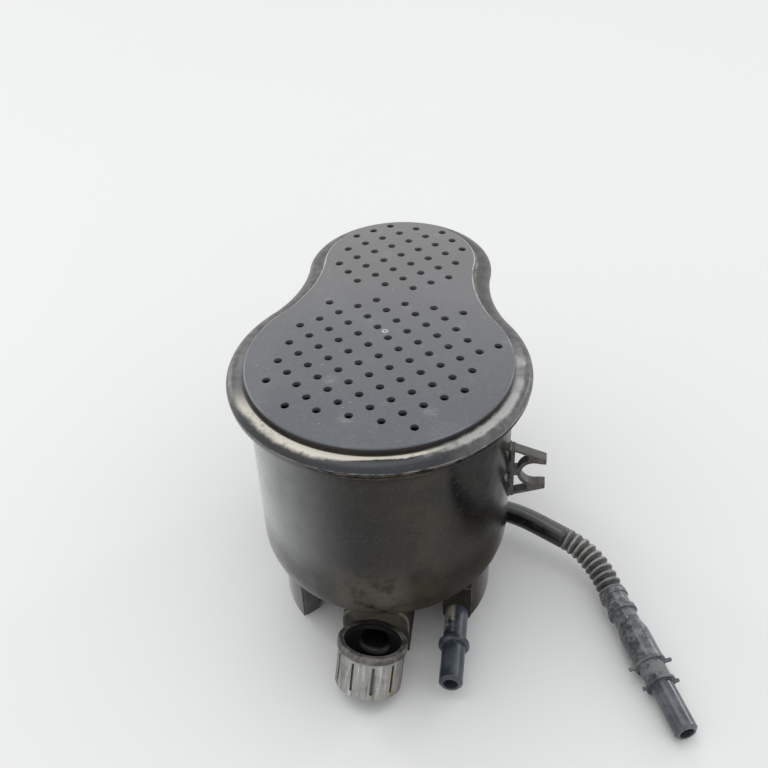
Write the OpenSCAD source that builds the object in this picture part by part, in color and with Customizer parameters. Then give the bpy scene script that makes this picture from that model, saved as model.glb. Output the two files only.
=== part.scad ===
// Charcoal canister for a fuel tank's vapour: a two-lobed pot with a perforated lid, two carbon beds,
// a vent socket, a purge nipple and a short vapour hose. Millimetres. It stands on its foot skirt.
// +Z is up, the origin is on the large lobe's axis at the floor, and +Y runs towards the small lobe.

/* [Outline] */
// Outer radius of the large lobe's wall
large_r = 54; // [50:1:58]
// Outer radius of the small lobe's wall
small_r = 34; // [31:1:37]
// Distance between the two lobes' axes
lobe_span = 76; // [72:1:82]
// Radius of the hollow sides between the lobes
neck_r = 72; // [60:1:90]

/* [Pot] */
// Thickness of the pot's wall
wall = 2.5; // [2:0.25:3.5]
// Thickness of the pot's floor
floor_t = 3; // [2.5:0.25:4]
// Radius of the rounded belly at the pot's foot
belly_r = 22; // [18:1:30]
// Height of the rounded belly
belly_h = 14; // [10:1:16]
// Distance from the large lobe's axis to the partition between the beds
partition_y = 45; // [43:0.5:47]
// Thickness of the partition
partition_t = 2.5; // [2:0.25:3.5]
// How far the lip under the lid stands out of the wall
lip_out = 7.2; // [6:0.2:8]
// Thickness of the lip
lip_t = 2; // [1.5:0.25:3]
// How far the collar under the lip stands out of the wall
collar_out = 1.2; // [0.8:0.2:2]
// Height of the collar
collar_h = 5.5; // [4:0.5:8]

/* [Foot skirt] */
// Height of the skirt from the floor to the pot
skirt_h = 26; // [25:0.5:30]
// How far the skirt stands in from the wall above
skirt_in = 7; // [6:0.5:8]
// Thickness of the skirt
skirt_t = 2.5; // [2:0.25:3.5]
// Direction of the left edge of the gap for the ports
gap_from = 223; // [215:1:230]
// Direction of the right edge of the gap for the ports
gap_to = 326.6; // [322:0.2:330]
// Depth of the rib at each edge of the gap
gap_rib = 8; // [5:0.5:12]

/* [Lid] */
// How far the lid's ring stands out of the wall
ring_out = 7.6; // [6.6:0.2:9]
// Height of the lid's ring over the weld
ring_h = 4; // [3:0.25:6]
// Width of the ring's rounded shoulder
ring_round = 4.4; // [3:0.2:5]
// Height of the weld groove under the ring
weld_gap = 0.6; // [0.4:0.1:1]
// Depth of the weld groove
weld_deep = 1.2; // [0.8:0.2:2]
// How far the perforated panel's edge stands out of the wall
panel_out = 0.4; // [0:0.1:1]
// Thickness of the panel at its edge
panel_t = 3; // [2.5:0.25:4]
// Radius of the panel's upper edge
panel_round = 1.2; // [0.6:0.2:1.8]
// Rise of the panel's crown over its edge
crown_h = 1.2; // [0.6:0.2:2]
// Width of the sloping border of the crown
crown_w = 22; // [16:1:24]
// Depth of the rib that centres the lid in the pot
centring_h = 3; // [2:0.5:4]
// Thickness of that rib
centring_t = 1.6; // [1.2:0.2:2.4]

/* [Lid holes] */
// Distance between neighbouring holes
hole_pitch = 9; // [8.6:0.1:9.4]
// Diameter of a hole
hole_d = 3.4; // [2.6:0.2:4]
// Direction of the hole rows
hole_turn = 35.2; // [0:0.2:45]
// Reach of the large field of holes, in pitches
large_reach = 4.6; // [3.2:0.1:4.6]
// Reach of the small field of holes, in pitches
small_reach = 3.3; // [2.3:0.1:3.3]

/* [Filling] */
// Height of the plenum under the beds
plenum_h = 9; // [7:0.5:12]
// Thickness of the grid under a bed
grid_t = 2; // [1.5:0.25:3]
// Thickness of a fleece pad
fleece_t = 3; // [2:0.5:5]
// Height of a carbon bed
bed_h = 58; // [50:1:70]
// Thickness of the grid that presses on a bed
press_t = 3; // [2:0.25:4]
// Length of the springs under the lid
spring_h = 13.4; // [11:0.2:16]
// Outer diameter of the large bed's spring
large_spring_d = 44; // [36:1:50]
// Outer diameter of the small bed's spring
small_spring_d = 28; // [22:1:32]
// Diameter of the springs' wire
wire_d = 1.8; // [1.4:0.1:2.2]
// Turns of a spring
spring_turns = 4; // [3:0.5:5]
// Room between the filling and the walls
fill_gap = 0.4; // [0.2:0.1:0.8]
// Width of a slot in the grids
slot_w = 4; // [3:0.5:5]
// Distance between neighbouring slots
slot_pitch = 9; // [8:0.5:12]

/* [Vent socket] */
// Place of the socket's foot, across
vent_x = -0.4; // [-3:0.2:2]
// Distance of the socket's foot outside the large lobe's wall
vent_out = 12.9; // [12.8:0.1:16]
// Lean of the socket to the right
vent_lean = 6; // [4:0.5:8]
// Lean of the socket towards the pot
vent_tip = 18.5; // [16:0.5:19]
// Height of the socket
vent_h = 20.2; // [18.6:0.2:20.4]
// Diameter of the socket's wall
vent_d = 27.8; // [27:0.2:28.6]
// Diameter of the socket's rim
vent_rim_d = 29.2; // [28.8:0.2:29.6]
// Height of the rim
vent_rim_h = 3.6; // [3.2:0.2:5]
// Diameter of the socket's bore
vent_bore_d = 24.2; // [22:0.2:24.4]
// Diameter of the seal's groove in the bore
seal_groove_d = 26.4; // [25.8:0.2:26.8]
// Depth of the seal's groove under the rim
seal_deep = 1.2; // [1:0.1:1.6]
// Thickness of the seal
seal_h = 1.6; // [1.2:0.1:1.8]
// Grooves round the socket's wall
vent_grooves = 10; // [8:1:14]
// Diameter of the duct to the pot
vent_duct_d = 18; // [16:0.5:19]
// Width of the hood behind the socket
hood_w = 28.4; // [27:0.2:30]
// Radius of the hood's upper edges
hood_round = 7; // [5:0.5:9]

/* [Purge nipple] */
// Place of the nipple, across
purge_x = 34.4; // [33:0.2:35]
// Height of the nipple's axis
purge_z = 10.5; // [10:0.25:12]
// Diameter of the nipple's pipe
pipe_d = 9.89; // [9.5:0.01:10.2]
// Bore of the pipes
pipe_bore_d = 6.2; // [5:0.2:7]
// Distance of the bead inside the large lobe's wall
bead_in = 4; // [2:0.5:8]
// Diameter of the bead
bead_d = 13.2; // [12:0.2:14.5]
// Length of the pipe in front of the bead
pipe_reach = 20; // [18:0.5:24]

/* [Vapour hose] */
// Diameter of the smooth hose
hose_d = 10; // [9:0.25:11]
// Depth of the corrugation outside and inside that diameter
ripple = 0.65; // [0.4:0.05:1]
// Ribs of the corrugated stretch
ripples = 10; // [7:1:12]
// Share of the hose that is smooth
smooth_share = 0.53; // [0.4:0.01:0.6]
// Diameter of the cuff and barrel at the hose's end
barrel_d = 13; // [12:0.25:14]

/* [Hose clip] */
// Height of the clip's bore over the floor
clip_z = 67.8; // [60:0.2:75]
// Distance of the bore from the large lobe's wall
clip_out = 10.7; // [10:0.1:13]
// Diameter of the clip's bore
clip_bore_d = 11.6; // [10.5:0.1:12]
// Depth of the clip
clip_depth = 4.5; // [4:0.5:8]
// Height of the clip at its foot
clip_h = 26.8; // [25:0.2:32]
// Height of the clip at its tips
clip_tip_h = 16.2; // [15.6:0.2:20]

/* [Hidden] */
$fn = 96;
eps = 0.01;
fit = 0.1;
over = 1;

// Heights, from the floor up
floor_z = skirt_h + floor_t;
belly_z = skirt_h + belly_h;
grid_z = floor_z + plenum_h;
lower_fleece_z = grid_z + grid_t;
bed_z = lower_fleece_z + fleece_t;
upper_fleece_z = bed_z + bed_h;
press_z = upper_fleece_z + fleece_t;
spring_z = press_z + press_t;
ledge_z = spring_z + spring_h;
seam_z = ledge_z - ring_h;
lip_z = seam_z - lip_t;
collar_z = lip_z - collar_h;
panel_z = ledge_z + panel_t;

// The outline: two lobes joined by a hollow arc on each side
neck_bite = 0.1;
large_arm = large_r + neck_r - neck_bite;
small_arm = small_r + neck_r - neck_bite;
neck_y = (large_arm^2 - small_arm^2 + lobe_span^2) / (2 * lobe_span);
neck_x = sqrt(large_arm^2 - neck_y^2);
neck_web = 5;
neck_in = neck_x - neck_r - neck_web;
lobe_centre = [0, lobe_span];
arc_steps = 7;

// Belly of the pot, as insets from the wall
function belly_in(r, z) = belly_r - sqrt(r^2 - (belly_z - z)^2);
function belly_arc(r, z_from) = [for (i = [0:arc_steps])
    let (z = z_from + (belly_z - z_from) * sin(90 * i / arc_steps)) [-belly_in(r, z), z]];

// Places of the ports under the pot, from the large lobe's wall inwards
vent_duct_z = 12.1;
vent_duct_x = vent_x + vent_duct_z * tan(vent_lean);
vent_slope = acos(cos(vent_lean) * cos(vent_tip));
foot_clear = 0.2;
vent_y = -large_r - vent_out;
vent_lift = vent_d / 2 * sin(vent_slope) + foot_clear;
boss_wall = 2.5;
purge_wall = 1.25;
boss_in = 40;
boss_back = boss_in - large_r;
hood_in = 6;
hood_front = hood_in - large_r;
hood_foot = 2;
hood_bite = 0.8;
vent_seat = 15;
vent_tail = hood_front + vent_seat;
purge_neck = 18;
purge_seat = 6;
bead_y = bead_in - large_r;
purge_boss_front = bead_y + purge_neck;
purge_tail = purge_boss_front + purge_seat;
riser_in = 32;
riser_y = riser_in - large_r;
riser_d = 7.5;

// The hose's route from its stub in the skirt, and the line of the coupling at its end
stub_y = 26.5;
stub_z = 17;
stub_flange_t = 1.6;
stub_flange_d = 12;
stub_front = sqrt((large_r - skirt_in)^2 - (stub_y - stub_flange_d / 2)^2) + fit;
stub_x = stub_front + stub_flange_t;
bends = [[0, 0, 0], [5.4, -0.3, 0], [10.7, -1.3, -0.1], [15.8, -3, -0.3], [20.7, -5.2, -0.6],
    [25.5, -7.7, -1], [30.3, -10.3, -1.5], [35.1, -12.8, -2.1], [39.8, -15.4, -2.7], [44.2, -18.5, -3.5],
    [48.1, -22.3, -4.4], [51.4, -26.5, -5.3], [54.2, -31.2, -6.2], [56.5, -36.1, -7.1], [58.5, -41.1, -8]];
route = [for (b = bends) [stub_x, stub_y, stub_z] + b];
stub_tail = 12;
stub_boss_l = 20;
stub_boss_back = stub_front - stub_boss_l;
coupling_turn = -68.2;
coupling_dip = 2.75;
coupling_at = route[len(route) - 1];
coupling_dir = [cos(coupling_turn) * cos(coupling_dip), sin(coupling_turn) * cos(coupling_dip),
    -sin(coupling_dip)];
cuff_l = 9;
barrel_l = 28;
barrel_step = 13;
flange_t = 1.2;
neck_l = 8.8;
collar_t = 1.2;
spigot_l = 22.5;

// The clip's rail on the wall
rail_out = 0.6;
rail_w = 6;

module lobe(r, profile) {
    first = profile[0];
    last = profile[len(profile) - 1];
    rotate_extrude()
        polygon(concat([[0, first.y]], [for (p = profile) [r + p.x, p.y]], [[0, last.y]]));
}

module neck_side(side, profile) {
    z0 = profile[0].y;
    z1 = profile[len(profile) - 1].y;
    intersection() {
        translate([side * neck_x, neck_y]) rotate_extrude()
            polygon(concat([[neck_r + neck_in, z0]], [for (p = profile) [neck_r - p.x, p.y]],
                [[neck_r + neck_in, z1]]));
        translate([0, 0, z0 - over]) linear_extrude(z1 - z0 + 2 * over)
            polygon([[0, 0], [side * neck_x, neck_y], lobe_centre]);
    }
}

// A solid that follows the outline. The profile lists its rim from the bottom up, as the distance
// outside the wall and the height.
module lobed(profile) {
    z0 = profile[0].y;
    z1 = profile[len(profile) - 1].y;
    lobe(large_r, profile);
    translate(lobe_centre) lobe(small_r, profile);
    for (side = [-1, 1]) neck_side(side, profile);
    translate([0, 0, z0]) linear_extrude(z1 - z0) difference() {
        polygon([[0, 0], [neck_x, neck_y], lobe_centre, [-neck_x, neck_y]]);
        for (side = [-1, 1]) translate([side * neck_x, neck_y]) circle(neck_r + neck_in - over);
    }
}

module lobed_slab(out, z0, z1) {
    lobed([[out, z0], [out, z1]]);
}

// The part of a slab that lies over one bed
module bed_slab(large, z0, t) {
    reach = large_r + lobe_span + small_r;
    edge = partition_t / 2 + fill_gap;
    intersection() {
        lobed_slab(-wall - fill_gap, z0, z0 + t);
        translate([-reach, large ? partition_y - edge - 2 * reach : partition_y + edge, z0 - over])
            cube([2 * reach, 2 * reach, t + 2 * over]);
    }
}

module along_y(at, from, to, d) {
    translate([at.x, from, at.y]) rotate([-90, 0, 0]) cylinder(h = to - from, d = d);
}

module along_x(at, from, to, d) {
    translate([from, at.x, at.y]) rotate([0, 90, 0]) cylinder(h = to - from, d = d);
}

// Pot, moulded with its partition, skirt, port bosses and clip rail
module pot_shell() {
    edge = 0.45;
    lobed(concat(belly_arc(belly_r, skirt_h), [[0, collar_z - collar_out], [collar_out, collar_z],
        [collar_out, lip_z], [lip_out - edge, lip_z], [lip_out, lip_z + edge], [lip_out, seam_z - edge],
        [lip_out - edge, seam_z]]));
}

module pot_cavity() {
    inner_r = belly_r - wall;
    lobed(concat(belly_arc(inner_r, floor_z), [[-wall, seam_z + over]]));
}

module skirt() {
    reach = 2 * large_r;
    top = skirt_h + floor_t / 2;
    rib_step = 0.3;
    difference() {
        lobed_slab(-skirt_in, 0, top);
        lobed_slab(-skirt_in - skirt_t, -over, top + over);
        translate([0, 0, -over]) linear_extrude(top + 2 * over)
            polygon([[0, 0], reach * [cos(gap_from), sin(gap_from)], [0, -2 * reach],
                reach * [cos(gap_to), sin(gap_to)]]);
    }
    for (gap = [[gap_from, rib_step - skirt_t], [gap_to, -rib_step]]) rotate([0, 0, gap[0]])
        translate([large_r - skirt_in - gap_rib, gap[1], 0])
            cube([gap_rib - skirt_t / 2, skirt_t, top]);
}

module port_boss(at, front, back, d) {
    along_y(at, front, back, d);
    translate([at.x - d / 2, front, at.y]) cube([d, back - front, skirt_h - at.y + eps]);
}

function rounded(centre, rx, rz, steps) = [for (i = [0:steps])
    let (a = 90 * i / steps) [centre.x + rx * cos(a), centre.y + rz * sin(a)]];

// Hood behind the socket: a round-shouldered block that hangs from the pot's floor
module vent_hood() {
    top = skirt_h + hood_bite;
    half = hood_w / 2;
    shoulder = rounded([half - hood_round, top - hood_round], hood_round, hood_round, arc_steps);
    outline = concat([[half, hood_foot]], shoulder,
        [for (i = [arc_steps:-1:0]) [-shoulder[i].x, shoulder[i].y]], [[-half, hood_foot]]);
    translate([vent_duct_x, boss_back]) rotate([90, 0, 0])
        linear_extrude(boss_back - hood_front) polygon(outline);
}

module floor_posts() {
    post_d = 5;
    large_post_in = 18;
    small_post_in = 16;
    large_ring = large_r - large_post_in;
    small_ring = small_r - small_post_in;
    posts = concat([[0, 0]], [for (a = [0:60:300]) large_ring * [cos(a), sin(a)]],
        [for (a = [45:90:315]) lobe_centre + small_ring * [cos(a), sin(a)]]);
    for (p = posts) translate([p.x, p.y, floor_z - eps]) cylinder(h = plenum_h + eps, d = post_d);
}

module partition() {
    reach = 2 * (large_r + small_r);
    intersection() {
        lobed_slab(-wall / 2, grid_z, seam_z - centring_h - fill_gap);
        translate([-reach / 2, partition_y - partition_t / 2, 0]) cube([reach, partition_t, 2 * seam_z]);
    }
}

module canister_body() {
    vent_at = [vent_duct_x, vent_duct_z];
    purge_at = [purge_x, purge_z];
    stub_at = [stub_y, stub_z];
    purge_boss_d = pipe_d + 2 * (fit + purge_wall);
    hanger_l = stub_front - skirt_in - stub_boss_back;
    color([0.2, 0.18, 0.16]) {
        difference() {
            union() {
                pot_shell();
                skirt();
                vent_hood();
                port_boss(purge_at, purge_boss_front, boss_back, purge_boss_d);
                along_x(stub_at, stub_boss_back, stub_front, stub_flange_d);
                translate([stub_boss_back, stub_y - stub_flange_d / 2, stub_z])
                    cube([hanger_l, stub_flange_d, skirt_h - stub_z + eps]);
                translate([large_r - wall / 2, -rail_w / 2, clip_z - clip_h / 2])
                    cube([rail_out + wall / 2, rail_w, clip_h]);
            }
            pot_cavity();
            in_socket() cylinder(h = vent_h + fit, d = vent_rim_d + 2 * fit);
            along_y(vent_at, hood_front - over, boss_back - boss_wall, vent_duct_d + 2 * fit);
            along_y(purge_at, purge_boss_front - over, boss_back - boss_wall, pipe_d + 2 * fit);
            along_x(stub_at, stub_boss_back + boss_wall, stub_front + over, pipe_d + 2 * fit);
            for (p = [[vent_duct_x, riser_y, vent_duct_z], [purge_x, riser_y, purge_z],
                    [stub_boss_back + boss_wall + riser_d / 2, stub_y, stub_z]])
                translate(p) cylinder(h = floor_z - p.z + over, d = riser_d);
        }
        floor_posts();
        partition();
    }
}

// Lid: a domed panel with two fields of holes, and the ring that is welded to the pot's lip
function hole_at(i, j) = hole_pitch * [i * cos(hole_turn) + j * sin(hole_turn),
    i * sin(hole_turn) - j * cos(hole_turn)];

// Holes outside the round field, near the large lobe's rim
rim_holes = [[-5, -1], [-5, 1], [-1, 5], [0, -5], [5, -1], [5, 2]];
small_field = [round(lobe_span * sin(hole_turn) / hole_pitch),
    -round(lobe_span * cos(hole_turn) / hole_pitch)];

module hole_field() {
    n = ceil(large_reach);
    picks = concat(
        [for (i = [-n:n]) for (j = [-n:n]) if (norm([i, j]) < large_reach) [i, j]],
        [for (i = [-n:n]) for (j = [-n:n]) if (norm([i, j]) < small_reach) [i, j] + small_field],
        rim_holes);
    for (p = picks) translate(hole_at(p[0], p[1])) circle(d = hole_d, $fn = 32);
}

module perforated_lid() {
    ring_edge = 0.6;
    edge_steps = 4;
    crown_mid = 0.7;
    shoulder = seam_z + weld_gap + ring_edge;
    rim = concat(
        [[-wall - fit, seam_z - centring_h], [-wall - fit, seam_z], [ring_out - weld_deep, seam_z],
            [ring_out - weld_deep, seam_z + weld_gap], [ring_out, seam_z + weld_gap]],
        rounded([ring_out - ring_round, shoulder], ring_round, ledge_z - shoulder, arc_steps),
        [[panel_out, ledge_z]],
        rounded([panel_out - panel_round, panel_z - panel_round], panel_round, panel_round, edge_steps),
        [[-crown_w / 2, panel_z + crown_h * crown_mid], [-crown_w, panel_z + crown_h]]);
    color([0.46, 0.46, 0.48]) difference() {
        lobed(rim);
        lobed_slab(-wall - fit - centring_t, seam_z - centring_h - over, ledge_z);
        translate([0, 0, ledge_z - over]) linear_extrude(panel_t + crown_h + 2 * over) hole_field();
    }
}

// Coil spring with closed ends, standing on z = 0
module coil_spring(d, h) {
    sides = 8;
    per_turn = 20;
    wire_r = wire_d / 2;
    coil_r = d / 2 - wire_r;
    rings = spring_turns * per_turn;
    closed_turns = 0.75;
    closed = closed_turns * per_turn;
    lift = h - wire_d - 2 * fit;
    function rise(k) = lift * max(0, min(1, (k - closed) / (rings - 2 * closed)));
    points = [for (k = [0:rings]) let (a = 360 * k / per_turn) for (s = [0:sides - 1])
        let (b = 360 * s / sides, r = coil_r + wire_r * cos(b))
            [r * cos(a), r * sin(a), fit + wire_r + rise(k) + wire_r * sin(b) + (k / rings - 0.5) * eps]];
    function at(k, s) = k * sides + (s % sides);
    faces = concat([[for (s = [sides - 1:-1:0]) at(0, s)]],
        [for (k = [0:rings - 1]) for (s = [0:sides - 1])
            [at(k, s), at(k, s + 1), at(k + 1, s + 1), at(k + 1, s)]],
        [[for (s = [0:sides - 1]) at(rings, s)]]);
    polyhedron(points, faces);
}

module spring_large() {
    color([0.6, 0.6, 0.62]) translate([0, 0, spring_z]) coil_spring(large_spring_d, spring_h);
}

module spring_small() {
    color([0.6, 0.6, 0.62]) translate([0, lobe_span, spring_z]) coil_spring(small_spring_d, spring_h);
}

// Slots of a grid, cut across a round field
module slots(r) {
    n = floor((r - slot_w) / slot_pitch);
    for (k = [-n:n]) {
        l = 2 * sqrt(r^2 - (slot_pitch * k)^2) - slot_w;
        translate([slot_pitch * k - slot_w / 2, -l / 2]) square([slot_w, l]);
    }
}

module grid_large(z, t) {
    margin = 8;
    difference() {
        bed_slab(true, z, t);
        translate([0, 0, z - over]) linear_extrude(t + 2 * over) intersection() {
            slots(large_r - margin);
            translate([-large_r, partition_y - margin - 2 * large_r]) square(2 * large_r);
        }
    }
}

module grid_small(z, t) {
    margin = 8;
    difference() {
        bed_slab(false, z, t);
        translate([0, lobe_span, z - over]) linear_extrude(t + 2 * over) slots(small_r - margin);
    }
}

// Low ring that keeps a spring in its place on the grid
module spring_seat(d) {
    seat_h = 2.5;
    seat_t = 2;
    room = 0.5;
    inside = d - 2 * (wire_d + room);
    translate([0, 0, spring_z - eps]) difference() {
        cylinder(h = seat_h, d = inside);
        translate([0, 0, -over]) cylinder(h = seat_h + 2 * over, d = inside - 2 * seat_t);
    }
}

module pressure_grid_large() {
    color([0.75, 0.75, 0.72]) {
        grid_large(press_z, press_t);
        spring_seat(large_spring_d);
    }
}

module pressure_grid_small() {
    color([0.75, 0.75, 0.72]) {
        grid_small(press_z, press_t);
        translate([0, lobe_span, 0]) spring_seat(small_spring_d);
    }
}

module support_grid_large() {
    color([0.75, 0.75, 0.72]) grid_large(grid_z, grid_t);
}

module support_grid_small() {
    color([0.75, 0.75, 0.72]) grid_small(grid_z, grid_t);
}

module upper_fleece_large() {
    color([0.85, 0.85, 0.8]) bed_slab(true, upper_fleece_z, fleece_t);
}

module upper_fleece_small() {
    color([0.85, 0.85, 0.8]) bed_slab(false, upper_fleece_z, fleece_t);
}

module lower_fleece_large() {
    color([0.85, 0.85, 0.8]) bed_slab(true, lower_fleece_z, fleece_t);
}

module lower_fleece_small() {
    color([0.85, 0.85, 0.8]) bed_slab(false, lower_fleece_z, fleece_t);
}

module carbon_bed_large() {
    color([0.08, 0.08, 0.08]) bed_slab(true, bed_z, bed_h);
}

module carbon_bed_small() {
    color([0.08, 0.08, 0.08]) bed_slab(false, bed_z, bed_h);
}

// Vent socket: a grooved cup that leans towards the pot, with a duct into its hood
seal_z = vent_h - seal_deep - seal_h;

module in_socket() {
    translate([vent_x, vent_y, vent_lift]) rotate([-vent_tip, vent_lean, 0]) children();
}

module vent_socket() {
    vent_floor = 3;
    wall_h = vent_h - vent_rim_h;
    rim = vent_rim_d / 2;
    edge = 0.7;
    groove_w = 1.2;
    groove_deep = 0.8;
    groove_foot = 2.5;
    duct_at = [vent_duct_x, vent_duct_z];
    duct_bore_d = vent_duct_d - 2 * boss_wall;
    color([0.42, 0.4, 0.37]) difference() {
        union() {
            in_socket() {
                difference() {
                    cylinder(h = wall_h + eps, d = vent_d);
                    for (k = [0:vent_grooves - 1]) rotate([0, 0, 270 + 360 * (k + 0.25) / vent_grooves])
                        translate([vent_d / 2 - groove_deep, -groove_w / 2, groove_foot])
                            cube([groove_deep + over, groove_w, wall_h - groove_foot - over]);
                }
                translate([0, 0, wall_h]) rotate_extrude()
                    polygon([[0, 0], [rim - edge, 0], [rim, edge], [rim, vent_rim_h - edge],
                        [rim - edge, vent_rim_h], [0, vent_rim_h]]);
            }
            along_y(duct_at, vent_y, vent_tail, vent_duct_d);
        }
        in_socket() {
            translate([0, 0, vent_floor]) cylinder(h = vent_h, d = vent_bore_d);
            translate([0, 0, seal_z - fit]) cylinder(h = seal_h + 2 * fit, d = seal_groove_d);
        }
        along_y(duct_at, vent_y, vent_tail + over, duct_bore_d);
    }
}

module vent_seal() {
    lip_in = 0.6;
    outer = seal_groove_d / 2 - fit;
    color([0.1, 0.1, 0.1]) in_socket() translate([0, 0, seal_z]) rotate_extrude()
        polygon([[vent_bore_d / 2 - lip_in, 0], [outer, 0], [outer, seal_h], [vent_bore_d / 2, seal_h]]);
}

// Purge nipple: a pipe with a bead, its tail pressed into its boss
module purge_nipple() {
    tail = purge_tail - bead_y;
    bead_w = 3;
    edge = 0.8;
    tip = 1;
    r = pipe_d / 2;
    rb = bead_d / 2;
    bore = pipe_bore_d / 2;
    color([0.2, 0.22, 0.25]) translate([purge_x, bead_y, purge_z]) rotate([90, 0, 0]) rotate_extrude()
        polygon([[bore, -tail], [r, -tail], [r, -bead_w / 2], [rb - edge, -bead_w / 2],
            [rb, edge - bead_w / 2], [rb, bead_w / 2 - edge], [rb - edge, bead_w / 2], [r, bead_w / 2],
            [r, pipe_reach - tip], [r - tip, pipe_reach], [bore, pipe_reach]]);
}

module hose_stub() {
    color([0.15, 0.15, 0.16]) difference() {
        union() {
            along_x([stub_y, stub_z], stub_front - stub_tail, stub_front + eps, pipe_d);
            along_x([stub_y, stub_z], stub_front, stub_x, stub_flange_d);
        }
        along_x([stub_y, stub_z], stub_front - stub_tail - over, stub_x + over, pipe_bore_d);
    }
}

// Hose: a round tube swept along its route, smooth at first and then corrugated
function spline(a, b, c, d, t) = 0.5 * (2 * b + (c - a) * t + (2 * a - 5 * b + 4 * c - d) * t^2
    + (3 * b - a - 3 * c + d) * t^3);

module vapour_hose() {
    sides = 12;
    last = len(route) - 1;
    lead = 5;
    ends = concat([route[0] - [lead, 0, 0]], route, [route[last] + lead * coupling_dir]);
    smooth_rings = 12;
    per_ripple = 6;
    rings = smooth_rings + ripples * per_ripple;
    function along(k) = k <= smooth_rings ? smooth_share * k / smooth_rings
        : smooth_share + (1 - smooth_share) * (k - smooth_rings) / (rings - smooth_rings);
    function place(u) = let (x = min(u * last, last - eps), i = floor(x))
        spline(ends[i], ends[i + 1], ends[i + 2], ends[i + 3], x - i);
    function radius(k) = hose_d / 2 - (k <= smooth_rings ? 0
        : ripple * cos(360 * (k - smooth_rings) / per_ripple) - ripple / 2);
    function unit(v) = v / norm(v);
    function heading(k) = k == 0 ? [1, 0, 0] : k == rings ? coupling_dir
        : unit(place(along(k) + eps / last) - place(along(k) - eps / last));
    points = [for (k = [0:rings])
        let (c = k == 0 ? route[0] : k == rings ? route[last] : place(along(k)), t = heading(k),
            side = unit(cross(t, [0, 0, 1])), up = cross(side, t))
        for (s = [0:sides - 1]) c + radius(k) * (cos(360 * s / sides) * side + sin(360 * s / sides) * up)];
    function at(k, s) = k * sides + (s % sides);
    faces = concat([[for (s = [sides - 1:-1:0]) at(0, s)]],
        [for (k = [0:rings - 1]) for (s = [0:sides - 1])
            [at(k, s), at(k, s + 1), at(k + 1, s + 1), at(k + 1, s)]],
        [[for (s = [0:sides - 1]) at(rings, s)]]);
    color([0.1, 0.1, 0.1]) polyhedron(points, faces);
}

// The coupling at the hose's end, along its own line
module on_coupling(s) {
    translate(coupling_at + s * coupling_dir) rotate([0, 90 + coupling_dip, coupling_turn]) children();
}

module hose_cuff() {
    rim = barrel_d / 2 - 0.3;
    waist = barrel_d / 2 - 1.1;
    rim_l = 2.2;
    step_l = 0.4;
    color([0.3, 0.3, 0.3]) on_coupling(0) rotate_extrude()
        polygon([[pipe_bore_d / 2, 0], [rim, 0], [rim, rim_l], [waist, rim_l + step_l], [waist, cuff_l],
            [pipe_bore_d / 2, cuff_l]]);
}

module coupling_body() {
    r = barrel_d / 2;
    waist = r - 1.1;
    rim_l = 2;
    step_l = 0.4;
    flare_l = 5;
    color([0.22, 0.23, 0.25]) on_coupling(cuff_l) rotate_extrude()
        polygon([[pipe_bore_d / 2, 0], [r, 0], [r, rim_l], [waist, rim_l + step_l],
            [waist, barrel_step - flare_l], [r, barrel_step], [r, barrel_l], [pipe_bore_d / 2, barrel_l]]);
}

module coupling_spigot() {
    r = barrel_d / 2;
    flange_r = r + 0.3;
    neck = r - 1;
    pipe = pipe_d / 2;
    tip = 1;
    tab_reach = 19;
    tab_w = 1.4;
    ring_tabs = 16;
    collar_at = flange_t + neck_l;
    spigot_at = collar_at + collar_t;
    color([0.2, 0.22, 0.25]) on_coupling(cuff_l + barrel_l) difference() {
        union() {
            rotate_extrude() polygon([[0, 0], [flange_r, 0], [flange_r, flange_t], [neck, flange_t],
                [neck, collar_at], [r, collar_at], [r, spigot_at], [pipe, spigot_at],
                [pipe, spigot_at + spigot_l - tip], [pipe - tip, spigot_at + spigot_l],
                [0, spigot_at + spigot_l]]);
            translate([-tab_w / 2, -tab_reach / 2, 0]) cube([tab_w, tab_reach, flange_t]);
            translate([-tab_w / 2, -ring_tabs / 2, collar_at]) cube([tab_w, ring_tabs, collar_t]);
        }
        translate([0, 0, -over]) cylinder(h = spigot_at + spigot_l + 2 * over, d = pipe_bore_d);
    }
}

// Clip for a hose on the wall: a foot, two thin arms, and an open ring on a web between them
module hose_clip() {
    foot_t = 1.5;
    arm_t = 1.3;
    arm_in = 0.3;
    tip_out = 4.6;
    web_h = 3.2;
    ring_t = 1.6;
    snap = 0.3;
    foot = large_r + rail_out;
    root = foot + foot_t / 2;
    bore_x = large_r + clip_out;
    hb = clip_bore_d / 2;
    tip = bore_x + tip_out;
    shoulder = bore_x - hb / 2;
    mouth = hb - snap;
    slope = (clip_h / 2 - arm_in - clip_tip_h / 2) / (tip - root);
    function arm_top(x) = clip_tip_h / 2 + slope * (tip - x);
    arm = [[root, arm_top(root)], [tip + over, arm_top(tip + over)], [tip + over, mouth - over],
        [bore_x, mouth - over], [shoulder, hb], [shoulder, arm_top(shoulder) - arm_t],
        [root, arm_top(root) - arm_t]];
    color([0.38, 0.36, 0.33]) translate([0, clip_depth / 2, clip_z]) rotate([90, 0, 0]) difference() {
        union() {
            translate([foot, -clip_h / 2, 0]) cube([foot_t, clip_h, clip_depth]);
            for (side = [-1, 1]) linear_extrude(clip_depth) polygon([for (p = arm) [p.x, side * p.y]]);
            translate([bore_x, 0, 0]) cylinder(h = clip_depth, r = hb + ring_t);
            translate([root, -web_h / 2, 0]) cube([bore_x - root, web_h, clip_depth]);
        }
        translate([bore_x, 0, -over]) cylinder(h = clip_depth + 2 * over, r = hb);
        translate([bore_x, -mouth, -over]) cube([2 * hb, 2 * mouth, clip_depth + 2 * over]);
        translate([tip, -clip_h, -over]) cube([clip_h, 2 * clip_h, clip_depth + 2 * over]);
    }
}

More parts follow.
